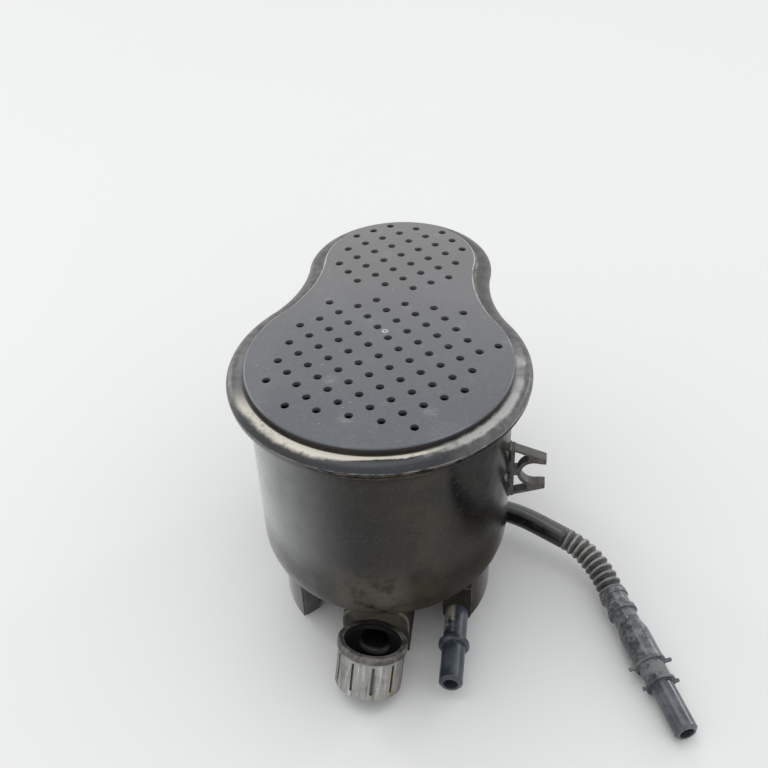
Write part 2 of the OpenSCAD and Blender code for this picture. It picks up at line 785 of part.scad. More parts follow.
canister_body();
perforated_lid();
spring_large();
spring_small();
pressure_grid_large();
pressure_grid_small();
upper_fleece_large();
upper_fleece_small();
carbon_bed_large();
carbon_bed_small();
lower_fleece_large();
lower_fleece_small();
support_grid_large();
support_grid_small();
vent_socket();
vent_seal();
purge_nipple();
hose_stub();
vapour_hose();
hose_cuff();
coupling_body();
coupling_spigot();
hose_clip();
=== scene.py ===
"""Looks of a charcoal canister: moulded plastic with wear, dust in its seams, painted light and shade, and
the short hose at its side.

Lengths are in metres and places are in the part's own frame: origin on the large lobe's axis at the floor,
+Y towards the small lobe, +Z up. Colours are linear red, green and blue.
"""
import math

import bmesh
import bpy
from mathutils import Matrix, Vector


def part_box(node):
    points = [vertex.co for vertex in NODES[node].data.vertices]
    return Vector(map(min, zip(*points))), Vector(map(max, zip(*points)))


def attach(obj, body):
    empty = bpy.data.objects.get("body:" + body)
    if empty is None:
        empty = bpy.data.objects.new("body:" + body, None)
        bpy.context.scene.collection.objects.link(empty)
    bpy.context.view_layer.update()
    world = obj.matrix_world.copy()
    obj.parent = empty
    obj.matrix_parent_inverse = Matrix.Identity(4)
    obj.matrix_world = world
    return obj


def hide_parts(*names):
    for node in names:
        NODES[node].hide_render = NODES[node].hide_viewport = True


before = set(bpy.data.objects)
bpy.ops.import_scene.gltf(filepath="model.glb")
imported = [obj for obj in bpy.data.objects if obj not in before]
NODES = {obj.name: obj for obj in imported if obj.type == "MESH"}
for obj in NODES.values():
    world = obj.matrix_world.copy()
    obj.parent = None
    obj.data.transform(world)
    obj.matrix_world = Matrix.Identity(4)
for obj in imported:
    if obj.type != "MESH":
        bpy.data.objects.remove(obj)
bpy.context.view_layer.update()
SCENE = bpy.context.scene
MM = 0.001

# Camera, at the photograph's viewing angle
CAMERA_AT = Vector((51.95, -333.98, 375.01)) * MM
CAMERA_TURN = math.radians(8.565)
CAMERA_DIP = math.radians(38.082)
CAMERA_ROLL = math.radians(-2.462)
FOCAL_PX = 1054.6
PICTURE_PX = 768
SENSOR_W = 36.0
NEAREST_SEEN = 10 * MM


def make_camera():
    data = bpy.data.cameras.new("camera")
    data.sensor_width = SENSOR_W
    data.lens = FOCAL_PX / PICTURE_PX * SENSOR_W
    data.clip_start = NEAREST_SEEN
    camera = bpy.data.objects.new("camera", data)
    SCENE.collection.objects.link(camera)
    turn = Matrix.Rotation(CAMERA_TURN, 4, "Z")
    dip = Matrix.Rotation(math.pi / 2 - CAMERA_DIP, 4, "X")
    roll = Matrix.Rotation(CAMERA_ROLL, 4, "Z")
    camera.matrix_world = Matrix.Translation(CAMERA_AT) @ turn @ dip @ roll
    SCENE.camera = camera


make_camera()

# The hose's route, from its stub in the skirt to the coupling
HOSE_EXIT = Vector((43.994, 26.5, 17))
BENDS = [(0, 0, 0), (5.4, -0.3, 0), (10.7, -1.3, -0.1), (15.8, -3, -0.3), (20.7, -5.2, -0.6),
         (25.5, -7.7, -1), (30.3, -10.3, -1.5), (35.1, -12.8, -2.1), (39.8, -15.4, -2.7),
         (44.2, -18.5, -3.5), (48.1, -22.3, -4.4), (51.4, -26.5, -5.3), (54.2, -31.2, -6.2),
         (56.5, -36.1, -7.1), (58.5, -41.1, -8)]
ROUTE = [(HOSE_EXIT + Vector(b)) * MM for b in BENDS]
STUB_DIR = Vector((1, 0, 0))
COUPLING_TURN = math.radians(-68.2)
COUPLING_DIP = math.radians(2.75)
COUPLING_DIR = Vector((math.cos(COUPLING_TURN) * math.cos(COUPLING_DIP),
                       math.sin(COUPLING_TURN) * math.cos(COUPLING_DIP), -math.sin(COUPLING_DIP)))
LEAD = 5 * MM
HEADING_STEP = 0.001

# The hose's tube, and its ribs that grow from shallow to full
HOSE_D = 10 * MM
HOSE_SIDES = 40
SMOOTH_SHARE = 0.53
SMOOTH_RINGS = 40
RIPPLES = 10
RIPPLES_TO_GROW = 5
RINGS_PER_RIPPLE = 14
FIRST_CREST, FULL_CREST = 0.1 * MM, 0.8 * MM
FIRST_GROOVE, FULL_GROOVE = 0.4 * MM, 1.25 * MM
RIB_POWER = 0.75


def on_route(share):
    """A point of the smooth curve through the route's points, at a share of its stretches."""
    points = [ROUTE[0] - LEAD * STUB_DIR, *ROUTE, ROUTE[-1] + LEAD * COUPLING_DIR]
    last = len(ROUTE) - 1
    x = min(max(share, 0.0), 1.0) * last
    i = min(int(x), last - 1)
    t = x - i
    a, b, c, d = points[i:i + 4]
    square = 2 * a - 5 * b + 4 * c - d
    cube = 3 * b - a - 3 * c + d
    return 0.5 * (2 * b + (c - a) * t + square * t ** 2 + cube * t ** 3)


def rib_height(ribbed, wave):
    """How far the tube stands out from its plain radius, at a count of ribs from the first."""
    grown = min(1.0, ribbed / RIPPLES_TO_GROW)
    crest = FIRST_CREST + (FULL_CREST - FIRST_CREST) * grown
    groove = FIRST_GROOVE + (FULL_GROOVE - FIRST_GROOVE) * grown
    return crest - groove * (0.5 + 0.5 * math.copysign(abs(wave) ** RIB_POWER, wave))


def make_hose():
    """The hose as a closed tube, smooth at first and then corrugated with round ribs."""
    rings = SMOOTH_RINGS + RIPPLES * RINGS_PER_RIPPLE
    mesh = bmesh.new()
    ribbed_share = mesh.verts.layers.float.new("ribbed")
    crest_share = mesh.verts.layers.float.new("crest")
    loops = []
    for k in range(rings + 1):
        ribbed = max(0, k - SMOOTH_RINGS) / RINGS_PER_RIPPLE
        wave = math.cos(2 * math.pi * ribbed)
        share = SMOOTH_SHARE * k / SMOOTH_RINGS
        radius = HOSE_D / 2
        if k > SMOOTH_RINGS:
            share = SMOOTH_SHARE + (1 - SMOOTH_SHARE) * ribbed / RIPPLES
            radius += rib_height(ribbed, wave)
        heading = (on_route(share + HEADING_STEP) - on_route(share - HEADING_STEP)).normalized()
        if k == 0:
            heading = STUB_DIR
        if k == rings:
            heading = COUPLING_DIR
        side = heading.cross(Vector((0, 0, 1))).normalized()
        up = side.cross(heading)
        loop = []
        for s in range(HOSE_SIDES):
            a = 2 * math.pi * s / HOSE_SIDES
            vert = mesh.verts.new(on_route(share) + radius * (math.cos(a) * side + math.sin(a) * up))
            vert[ribbed_share] = min(1.0, ribbed)
            vert[crest_share] = 0.5 - 0.5 * wave
            loop.append(vert)
        loops.append(loop)
    for one, two in zip(loops, loops[1:]):
        for s in range(HOSE_SIDES):
            n = (s + 1) % HOSE_SIDES
            mesh.faces.new((one[s], one[n], two[n], two[s]))
    mesh.faces.new(loops[0][::-1])
    mesh.faces.new(loops[-1])
    bmesh.ops.recalc_face_normals(mesh, faces=mesh.faces)
    data = bpy.data.meshes.new("hose")
    mesh.to_mesh(data)
    mesh.free()
    data.shade_smooth()
    hose = bpy.data.objects.new("corrugated_hose", data)
    SCENE.collection.objects.link(hose)
    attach(hose, "root")
    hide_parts("vapour_hose")
    return hose


hose = make_hose()

# Heights and places on the part that the dirt, the painted shade and the painted light follow
LID_FRONT_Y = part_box("perforated_lid")[0].y
LID_BACK_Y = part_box("perforated_lid")[1].y
LEDGE_DROP = 4.2 * MM
LEDGE_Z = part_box("perforated_lid")[1].z - LEDGE_DROP
PANEL_RISE = 3 * MM
PANEL_Z = LEDGE_Z + PANEL_RISE
PANEL_R = 54.4 * MM
SEAM_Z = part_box("canister_body")[1].z
GATE_AT = (0.4 * MM, 17.1 * MM, 0)
SCUFFS_AT = ((-7.5 * MM, -39.8 * MM, 0), (-16.9 * MM, -16.9 * MM, 0), (24 * MM, -33 * MM, 0))
CUP_AT = (-0.4 * MM, -66.9 * MM, 4.82 * MM)
CUP_TURN = (math.radians(-18.5), math.radians(6), 0)
CUP_H = 20.2 * MM
CUP_BORE_R = 12.1 * MM
CUP_WALL_R = 13.9 * MM
OVER_CUP_AT = (CUP_AT[0], -56 * MM, 0)

# Settings that all materials share: specks, scratches, corners and edges
SPECK_EDGE, SPECK_CORE = 0.28, 0.10
SCRATCH_WIDTH = 0.03
HIDDEN_SAMPLES = 8
EDGE_SAMPLES = 6
SOFTEN_SAMPLES = 4
FLAT_DOT, EDGE_DOT = 0.985, 0.86


class Look:
    """One material's node tree, built with short calls."""

    def __init__(self, name):
        self.material = bpy.data.materials.new(name)
        self.material.use_nodes = True
        self.tree = self.material.node_tree
        self.tree.nodes.clear()
        self.place = self.node("ShaderNodeTexCoord").outputs["Object"]
        self.xyz = self.parts(self.place)
        self.normal = self.node("ShaderNodeNewGeometry").outputs["Normal"]
        self.up = self.parts(self.normal)[2]
        self.level = self.flat(self.xyz)

    def node(self, kind, inputs=None, **settings):
        """A new node, with each input linked to a socket or set to a plain value."""
        node = self.tree.nodes.new(kind)
        for name, value in settings.items():
            setattr(node, name, value)
        for key, value in (inputs or {}).items():
            if isinstance(value, bpy.types.NodeSocket):
                self.tree.links.new(value, node.inputs[key])
            else:
                node.inputs[key].default_value = value
        return node

    def parts(self, vector):
        return self.node("ShaderNodeSeparateXYZ", {0: vector}).outputs

    def flat(self, parts):
        """A vector without its third part."""
        return self.node("ShaderNodeCombineXYZ", {0: parts[0], 1: parts[1]}).outputs[0]

    def measure(self, operation, a, b=(0, 0, 0)):
        """A number from one or two vectors."""
        return self.node("ShaderNodeVectorMath", {0: a, 1: b}, operation=operation).outputs["Value"]

    def math(self, operation, a, b=0.0):
        return self.node("ShaderNodeMath", {0: a, 1: b}, operation=operation).outputs[0]

    def fold(self, operation, values):
        total = values[0]
        for value in values[1:]:
            total = self.math(operation, total, value)
        return total

    def times(self, *values):
        return self.fold("MULTIPLY", values)

    def plus(self, *values):
        return self.fold("ADD", values)

    def most(self, *values):
        return self.fold("MAXIMUM", values)

    def flip(self, a):
        return self.math("SUBTRACT", 1.0, a)

    def band(self, value, low, high, to_low=0.0, to_high=1.0):
        """A soft step of the value, from to_low at low to to_high at high."""
        inputs = {0: value, 1: low, 2: high, 3: to_low, 4: to_high}
        return self.node("ShaderNodeMapRange", inputs, interpolation_type="SMOOTHSTEP", clamp=True).outputs[0]

    def between(self, value, start, full, fade, end):
        """1 from full to fade, falling softly to 0 at start and end."""
        return self.times(self.band(value, start, full), self.band(value, end, fade))

    def noise(self, size, detail=4.0, rough=0.55, stretch=(1, 1, 1), shift=(0, 0, 0), place=None):
        """Cloudy noise with lumps of about the given size, longer where stretch is above 1."""
        scale = tuple(1 / s for s in stretch)
        at = self.node("ShaderNodeMapping", {0: place or self.place, 1: shift, 3: scale}).outputs[0]
        inputs = {"Vector": at, "Scale": 0.5 / size, "Detail": detail, "Roughness": rough}
        return self.node("ShaderNodeTexNoise", inputs).outputs[0]

    def specks(self, size, share):
        """Small round specks in a share of the cells of a given size."""
        cell = self.node("ShaderNodeTexVoronoi", {"Vector": self.place, "Scale": 1 / size})
        chosen = self.parts(cell.outputs["Color"])[0]
        near = self.band(cell.outputs["Distance"], SPECK_EDGE, SPECK_CORE)
        return self.times(near, self.band(chosen, share, share * 0.9))

    def scratches(self, width, length, angle, shift=(0, 0, 0)):
        """Thin lines along one direction in the XY plane."""
        inputs = {0: self.place, 1: shift, 2: (0, 0, angle), 3: (1 / length, 1 / width, 1 / width)}
        turned = self.node("ShaderNodeMapping", inputs).outputs[0]
        wave = self.node("ShaderNodeTexNoise", {"Vector": turned, "Scale": 1.0, "Detail": 2.0}).outputs[0]
        away = self.math("ABSOLUTE", self.math("SUBTRACT", wave, 0.5))
        return self.band(away, SCRATCH_WIDTH, 0.0)

    def away(self, centre):
        """Level distance from an upright axis."""
        return self.measure("DISTANCE", self.level, centre)

    def near(self, centre, radius, soft):
        """1 inside an upright cylinder round a place, 0 outside."""
        return self.band(self.away(centre), radius + soft, radius)

    def mix(self, share, a, b):
        """A blend of two colours, a where share is 0 and b where it is 1."""
        inputs = {0: share}
        for key, colour in ((6, a), (7, b)):
            inputs[key] = colour if isinstance(colour, bpy.types.NodeSocket) else (*colour, 1)
        return self.node("ShaderNodeMix", inputs, data_type="RGBA").outputs[2]

    def hidden(self, distance):
        """How far a point is shut in by its own piece, from 0 in the open to 1 in a corner."""
        node = self.node("ShaderNodeAmbientOcclusion", {"Distance": distance}, samples=HIDDEN_SAMPLES,
                         only_local=True)
        return self.flip(node.outputs["AO"])

    def softened(self, radius, samples):
        """The normal with edges rounded by a radius."""
        return self.node("ShaderNodeBevel", {"Radius": radius}, samples=samples).outputs[0]

    def edges(self, radius):
        """1 along edges and corners, 0 on open faces."""
        same = self.measure("DOT_PRODUCT", self.softened(radius, EDGE_SAMPLES), self.normal)
        return self.band(same, FLAT_DOT, EDGE_DOT)

    def finish(self, colour, rough, height=None, depth=0.1 * MM, edge=0.25 * MM, **more):
        """Closes the tree with a shader, a bump of the given depth and edges softened by a radius."""
        inputs = {"Base Color": colour, "Roughness": rough}
        inputs.update({name.replace("_", " "): value for name, value in more.items()})
        if edge:
            inputs["Normal"] = self.softened(edge, SOFTEN_SAMPLES)
        if height is not None:
            bump = {"Height": height, "Distance": depth, "Strength": 1.0}
            if edge:
                bump["Normal"] = inputs["Normal"]
            inputs["Normal"] = self.node("ShaderNodeBump", bump).outputs[0]
        shader = self.node("ShaderNodeBsdfPrincipled", inputs)
        self.node("ShaderNodeOutputMaterial", {0: shader.outputs[0]})
        return self.material


# Dirt that more than one piece has; the dark one also serves as painted shade in corners, on the lid's side
# wall and on the cup's duct
TAN = (0.26, 0.22, 0.15)
DIRT_AND_SHADE = (0.012, 0.011, 0.010)

# Lid colours: the panel and its painted reflection, its edge with painted highlights, its gate, the ring with
# a painted highlight at its seam, the dust and dirt on the ledge between them, and painted shade on the
# panel's side wall, at its root and in its holes
SLATE_FRONT, SLATE_BACK_SHEEN = (0.095, 0.101, 0.114), (0.166, 0.162, 0.159)
SLATE_CLOUD = (0.175, 0.178, 0.19)
SLATE_GRAIN = (0.21, 0.215, 0.228)
SCUFF = (0.44, 0.44, 0.45)
LID_SPECK = (0.40, 0.40, 0.39)
EDGE_GLEAM, EDGE_RUBBED_GLINT = (0.24, 0.245, 0.26), (0.52, 0.515, 0.49)
GATE_RIM, GATE_PIT = (0.42, 0.42, 0.41), (0.03, 0.03, 0.03)
RING_DARK, RING_LIGHT = (0.060, 0.060, 0.061), (0.135, 0.134, 0.132)
RING_BACK = (0.045, 0.043, 0.038)
RING_FRONT, RING_SPECK = (0.017, 0.018, 0.021), (0.16, 0.17, 0.20)
SEAM_HIGHLIGHT = (0.24, 0.24, 0.24)
WAIST_DUST = (0.46, 0.455, 0.43)
KHAKI = (0.20, 0.18, 0.11)
ASH = (0.42, 0.415, 0.40)
CREAM = (0.62, 0.59, 0.51)
DUST_SPOT = (0.08, 0.072, 0.055)
OLIVE = (0.042, 0.035, 0.017)
ROOT_DIRT_AND_SHADE = (0.028, 0.024, 0.014)
HOLE_SHADE = (0.008, 0.008, 0.009)


def lid_scuffs(look):
    """Fine scratches in two directions, gathered in patches and at a few chosen places."""
    one_way = look.scratches(0.5 * MM, 9 * MM, 0.6)
    other_way = look.scratches(0.4 * MM, 7 * MM, -0.8, shift=(1, 2, 0))
    patches = look.band(look.noise(6 * MM, 3, shift=(3, 1, 2)), 0.60, 0.74, 0, 0.6)
    for place in SCUFFS_AT:
        patches = look.most(patches, look.near(place, 0.5 * MM, 4 * MM))
    return look.times(look.most(one_way, other_way), patches)


def lid_panel(look, cloud, scuffs):
    """Slate painted paler at the back as a reflection of the bright wall behind, with grain, scuffs, wear and
    a painted highlight along its edge, and the mark of its gate.
    """
    y = look.xyz[1]
    grain = look.noise(0.7 * MM, 3, 0.7)
    # Painted reflection: the slate turns paler towards the back, where the bright wall behind would be
    # mirrored
    colour = look.mix(look.band(y, LID_FRONT_Y, LID_BACK_Y), SLATE_FRONT, SLATE_BACK_SHEEN)
    colour = look.mix(look.band(cloud, 0.45, 0.75, 0, 0.35), colour, SLATE_CLOUD)
    colour = look.mix(look.band(grain, 0.52, 0.70, 0, 0.3), colour, SLATE_GRAIN)
    colour = look.mix(look.times(scuffs, 0.55), colour, SCUFF)
    colour = look.mix(look.times(look.specks(2.4 * MM, 0.05), 0.3), colour, LID_SPECK)
    # Painted highlight along the panel's rounded top edge
    edge_highlight = look.between(look.up, 0.45, 0.70, 0.85, 0.97)
    colour = look.mix(look.times(edge_highlight, look.band(cloud, 0.42, 0.6), 0.45), colour, EDGE_GLEAM)
    # Wear and painted highlight: a broken pale line on the rounded edge towards the back
    broken = look.band(look.noise(5 * MM, 5, 0.7), 0.34, 0.52)
    rubbed_glint = look.times(edge_highlight, look.band(y, 4 * MM, 22 * MM), broken)
    colour = look.mix(look.times(rubbed_glint, 0.85), colour, EDGE_RUBBED_GLINT)
    colour = look.mix(look.near(GATE_AT, 1.1 * MM, 0.5 * MM), colour, GATE_RIM)
    return look.mix(look.near(GATE_AT, 0.35 * MM, 0.25 * MM), colour, GATE_PIT)


def lid_ring(look, left):
    """The rounded ring: grey, darker at the back, speckled black at the front, with a painted highlight along
    the seam below.
    """
    x, y, z = look.xyz
    grain = look.noise(2.5 * MM, 4, 0.6)
    colour = look.mix(look.band(grain, 0.35, 0.7), RING_DARK, RING_LIGHT)
    back = look.band(y, 25 * MM, 50 * MM)
    colour = look.mix(look.times(back, look.flip(left), 0.4), colour, RING_BACK)
    front = look.times(look.band(y, -18 * MM, -42 * MM), look.band(x, 42 * MM, 30 * MM))
    speckled = look.mix(look.times(look.specks(0.9 * MM, 0.3), 0.5), RING_FRONT, RING_SPECK)
    colour = look.mix(front, colour, speckled)
    # Painted highlight: a pale line along the seam's edge at the front
    seam_highlight = look.times(look.band(z, SEAM_Z + 1.5 * MM, SEAM_Z + MM), look.band(y, 0.0, -35 * MM))
    return look.mix(look.times(seam_highlight, look.band(grain, 0.4, 0.6), 0.7), colour, SEAM_HIGHLIGHT)


def lid_dust(look, colour, on_ledge, out, left, smear, ragged):
    """The ledge's dust over a colour: grey along the waist, ash at the right, cream round the front."""
    x, y = look.xyz[0], look.xyz[1]
    wander = look.plus(look.times(smear, 0.65), look.times(ragged, 0.35), -0.5)

    waist = look.times(on_ledge, look.band(y, 8 * MM, 28 * MM), look.band(look.hidden(2.2 * MM), 0.16, 0.34))
    colour = look.mix(look.times(waist, look.band(ragged, 0.34, 0.54), 0.75), colour, WAIST_DUST)
    lumps = look.band(look.plus(smear, look.times(ragged, 0.5)), 0.76, 0.88)
    khaki = look.times(waist, look.flip(left), lumps)
    colour = look.mix(look.times(khaki, 0.8), colour, KHAKI)

    left_side = look.times(left, look.between(y, -28 * MM, -8 * MM, 5 * MM, 20 * MM))
    left_ash = look.times(on_ledge, look.band(out, 4.5 * MM, 2 * MM), left_side, look.band(smear, 0.35, 0.6))
    colour = look.mix(look.times(left_ash, 0.25), colour, ASH)
    right_side = look.times(look.band(x, 18 * MM, 32 * MM), look.band(y, 22 * MM, 5 * MM))
    ash_reach = look.plus(look.times(wander, 6 * MM), 3.2 * MM)
    in_ash = look.band(out, look.plus(ash_reach, 1.6 * MM), ash_reach)
    ash = look.times(on_ledge, in_ash, right_side, look.band(smear, 0.30, 0.55))
    colour = look.mix(look.times(ash, 0.9), colour, ASH)

    wide = look.times(look.band(x, 8 * MM, -22 * MM), MM)
    reach = look.plus(look.times(wide, 1.1), look.times(wander, 4 * MM), 2.3 * MM)
    fade = look.plus(look.times(wide, 1.6), 0.8 * MM)
    in_cream = look.times(look.band(out, 0.5 * MM, 1.3 * MM), look.band(out, look.plus(reach, fade), reach))
    front = look.times(look.band(y, -17 * MM, -36 * MM), look.band(x, 34 * MM, 22 * MM))
    thick = look.band(look.plus(ragged, look.times(smear, 0.5)), 0.52, 0.74, 0.55, 1)
    cream = look.times(on_ledge, in_cream, front, thick)
    colour = look.mix(cream, colour, CREAM)

    dust = look.most(cream, look.times(ash, 0.7))
    spots = look.times(dust, look.band(ragged, 0.60, 0.70), 0.6)
    return look.mix(spots, colour, DUST_SPOT), dust


def lid_look():
    """Slate panel with scuffs, a dusty ledge round it, a ring that is dark at the front, and painted shade on
    the panel's side wall, at its root and in its holes.
    """
    look = Look("lid_plastic")
    x, y, z = look.xyz
    cloud = look.noise(16 * MM, 5)
    smear = look.noise(7 * MM, 4, 0.6)
    ragged = look.noise(1.8 * MM, 5, 0.7)
    left = look.band(x, 22 * MM, -22 * MM)
    front = look.band(y, 10 * MM, -30 * MM)
    out = look.math("SUBTRACT", look.away((0, 0, 0)), PANEL_R)
    on_panel = look.band(z, LEDGE_Z + 0.6 * MM, LEDGE_Z + 1.4 * MM)
    on_ledge = look.times(look.band(z, LEDGE_Z + 0.5 * MM, LEDGE_Z + 0.1 * MM), look.band(look.up, 0.3, 0.7))
    scuffs = lid_scuffs(look)
    colour = look.mix(on_panel, lid_ring(look, left), lid_panel(look, cloud, scuffs))
    colour, dust = lid_dust(look, colour, on_ledge, out, left, smear, ragged)

    # Dirt and painted shade: the panel's side wall is darkened, most at the front, where it stands in shadow
    wall = look.between(z, LEDGE_Z - 0.2 * MM, LEDGE_Z, PANEL_Z - MM, PANEL_Z - 0.3 * MM)
    side = look.times(look.band(look.up, 0.75, 0.45), wall)
    muddy = look.times(look.band(z, LEDGE_Z + 1.5 * MM, LEDGE_Z + 0.1 * MM), look.band(smear, 0.44, 0.64))
    grime_and_shade = look.mix(muddy, DIRT_AND_SHADE, OLIVE)
    colour = look.mix(look.times(side, look.plus(look.times(front, 0.7), 0.3)), colour, grime_and_shade)
    # Dirt and painted shade: a dark line on the ledge at the panel's root, at the front
    root = look.times(on_ledge, look.band(out, 1.4 * MM, 0.3 * MM), front)
    colour = look.mix(look.times(root, look.band(ragged, 0.35, 0.6, 0.5, 0.95)), colour, ROOT_DIRT_AND_SHADE)
    # Painted shade: the walls inside the holes are painted near black where they are shut in
    below = look.band(z, PANEL_Z - 0.4 * MM, PANEL_Z - 1.4 * MM)
    in_holes = look.times(below, look.band(look.hidden(4 * MM), 0.55, 0.75))
    colour = look.mix(in_holes, colour, HOLE_SHADE)

    matt = look.band(z, LEDGE_Z + MM, LEDGE_Z, 0.30, 0.22)
    rough = look.plus(look.times(cloud, 0.2), look.times(dust, 0.35), matt)
    height = look.plus(look.times(look.noise(0.5 * MM, 2), 0.25), look.times(scuffs, -0.4),
                       look.times(dust, ragged))
    return look.finish(colour, rough, height, depth=0.05 * MM, edge=0.35 * MM)


# Pot colours
JET, BROWN_BLACK = (0.0022, 0.0023, 0.0026), (0.0085, 0.0066, 0.0042)
BROWN_PATCH = (0.021, 0.0165, 0.0112)
POT_GRAIN = (0.046, 0.040, 0.031)
POT_SPECK = (0.12, 0.11, 0.09)
BROWN_STRIPE = (0.050, 0.038, 0.022)
FOOT_SHADE = (0.012, 0.0105, 0.0085)
PALE_SHEEN = (0.235, 0.24, 0.242)
EDGE_DUST_AND_GLINT = (0.38, 0.355, 0.30)
HOOD_DUST = (0.44, 0.41, 0.34)
BELLY_DUST = (0.042, 0.037, 0.029)
OVER_CUP_LIGHT = (0.115, 0.104, 0.086)


def body_look():
    """Satin black with brown areas, a painted reflection at the front left, dust with painted highlights on
    edges, dust on ledges and belly, painted shade low down and painted light on the belly over the cup.
    """
    look = Look("body_plastic")
    x, y, z = look.xyz
    cloud = look.noise(20 * MM, 4, stretch=(1, 1, 1.8))
    patchy = look.noise(5 * MM, 5, 0.65, shift=(1, 4, 2))
    grain = look.noise(0.6 * MM, 3, 0.7)
    colour = look.mix(look.band(cloud, 0.38, 0.62), JET, BROWN_BLACK)
    colour = look.mix(look.band(patchy, 0.50, 0.66, 0, 0.6), colour, BROWN_PATCH)
    colour = look.mix(look.band(grain, 0.54, 0.70, 0, 0.6), colour, POT_GRAIN)
    colour = look.mix(look.times(look.specks(1.8 * MM, 0.06), 0.3), colour, POT_SPECK)
    stripe = look.times(look.between(x, 4 * MM, 20 * MM, 24 * MM, 34 * MM), look.band(patchy, 0.35, 0.6))
    colour = look.mix(look.times(stripe, 0.45), colour, BROWN_STRIPE)
    # Painted shade: the low part of the pot, under its belly, is darkened
    foot = look.band(z, 24 * MM, 18 * MM)
    colour = look.mix(look.times(foot, 0.7), colour, FOOT_SHADE)

    # Painted reflection: a pale sheet with sheen at the front left, standing for the bright surroundings
    # mirrored at a grazing angle
    front_left = look.times(look.math("POWER", look.band(x, 4 * MM, -48 * MM), 1.5),
                            look.band(y, 14 * MM, -14 * MM, 0.12, 1))
    uneven = look.band(look.plus(patchy, look.times(cloud, 0.6)), 0.45, 0.95, 0.7, 1)
    film_and_sheen = look.times(front_left, uneven, look.band(look.hidden(30 * MM), 0.85, 0.5))
    colour = look.mix(film_and_sheen, colour, PALE_SHEEN)
    ledges = look.times(look.band(look.up, 0.4, 0.9), look.band(look.noise(3 * MM, 4), 0.35, 0.6))
    colour = look.mix(look.times(ledges, 0.6), colour, TAN)

    # Dust and painted highlight: pale broken edges, stronger round the hood
    worn_and_glinting = look.times(look.edges(0.9 * MM), look.band(look.noise(3 * MM, 4), 0.36, 0.56))
    hood = look.times(look.between(z, 12 * MM, 16 * MM, 32 * MM, 36 * MM), look.band(y, -42 * MM, -45 * MM))
    colour = look.mix(look.times(worn_and_glinting, look.plus(look.times(hood, 0.5), 0.45)), colour, EDGE_DUST_AND_GLINT)
    arc = look.times(look.edges(1.8 * MM), hood, look.band(patchy, 0.32, 0.5))
    colour = look.mix(look.times(arc, 0.85), colour, HOOD_DUST)

    belly = look.times(look.band(z, 62 * MM, 44 * MM), look.band(y, -10 * MM, -30 * MM))
    colour = look.mix(look.times(belly, look.band(patchy, 0.3, 0.6), 0.5), colour, BELLY_DUST)
    # Painted light: the belly over the cup is painted lighter, against the shade that the cup casts on it
    over_cup = look.times(belly, look.near(OVER_CUP_AT, 10 * MM, 12 * MM), look.band(patchy, 0.25, 0.55))
    colour = look.mix(look.times(over_cup, 0.65), colour, OVER_CUP_LIGHT)

    right = look.times(look.band(x, 25 * MM, 48 * MM), look.band(z, 40 * MM, 75 * MM))
    grimy = look.most(look.band(z, SEAM_Z - 12 * MM, SEAM_Z - 5 * MM), right)
    rough = look.plus(look.times(patchy, 0.12), look.times(film_and_sheen, 0.12), look.times(grimy, 0.06),
                      look.times(belly, 0.45), 0.09)
    height = look.plus(look.times(grain, 0.5), look.times(patchy, 0.5))
    shine = look.plus(look.times(grimy, -0.26), look.times(patchy, -0.3), look.times(belly, -0.2), 0.49)
    return look.finish(colour, rough, height, depth=0.045 * MM, edge=0.3 * MM, Specular_IOR_Level=shine,
                       Sheen_Weight=look.times(film_and_sheen, 0.55), Sheen_Roughness=0.35)


def dusty(look, dark, dust, cover, size, soft=0.24):
    """Base colour of plastic under broken dust, thicker on what faces up, with pale edges of wear and painted
    highlight, and dirt with painted shade in corners.
    """
    cloud = look.noise(size, 5, 0.65)
    corner = look.band(look.hidden(2.5 * MM), 0.2, 0.6)
    level = look.plus(cloud, look.times(look.band(look.up, -0.4, 0.9), 0.24))
    middle = 0.9 - cover / 2
    film_and_sheen = look.band(level, middle - soft, middle + soft)
    colour = look.mix(film_and_sheen, dark, dust)
    light = tuple(min(1, 2.2 * c) for c in dust)
    colour = look.mix(look.times(look.specks(1.6 * MM, 0.25), 0.5), colour, light)
    # Wear and painted highlight: pale edges
    colour = look.mix(look.times(look.edges(0.4 * MM), 0.45), colour, light)
    # Dirt and painted shade: corners that are shut in are darkened
    colour = look.mix(look.times(corner, 0.75), colour, DIRT_AND_SHADE)
    return colour, film_and_sheen


def dusty_look(name, dark, dust, cover, rough, size, soft=0.24):
    """Plastic under dust that covers about a share of it, in lumps of the given size."""
    look = Look(name)
    colour, film_and_sheen = dusty(look, dark, dust, cover, size, soft)
    roughness = look.plus(look.times(film_and_sheen, 0.22), rough - 0.12)
    height = look.plus(look.times(look.noise(0.5 * MM, 3), 0.3), look.times(film_and_sheen, 0.25))
    return look.finish(colour, roughness, height, depth=0.05 * MM)


# Cup colours
CUP_GREY, CUP_DUST = (0.085, 0.083, 0.077), (0.28, 0.275, 0.26)
STREAK_HIGHLIGHT, STREAK_DARK = (0.52, 0.515, 0.50), (0.055, 0.053, 0.048)
CUP_SIDE_SHADE = (0.045, 0.042, 0.036)
RIM_DARK, RIM_LIGHT = (0.022, 0.021, 0.018), (0.125, 0.116, 0.096)
RIM_EDGE_HIGHLIGHT = (0.34, 0.33, 0.30)
CUP_GROOVES = (0.075, 0.072, 0.064)
CUP_INSIDE_SHADE = (0.013, 0.0135, 0.0165)


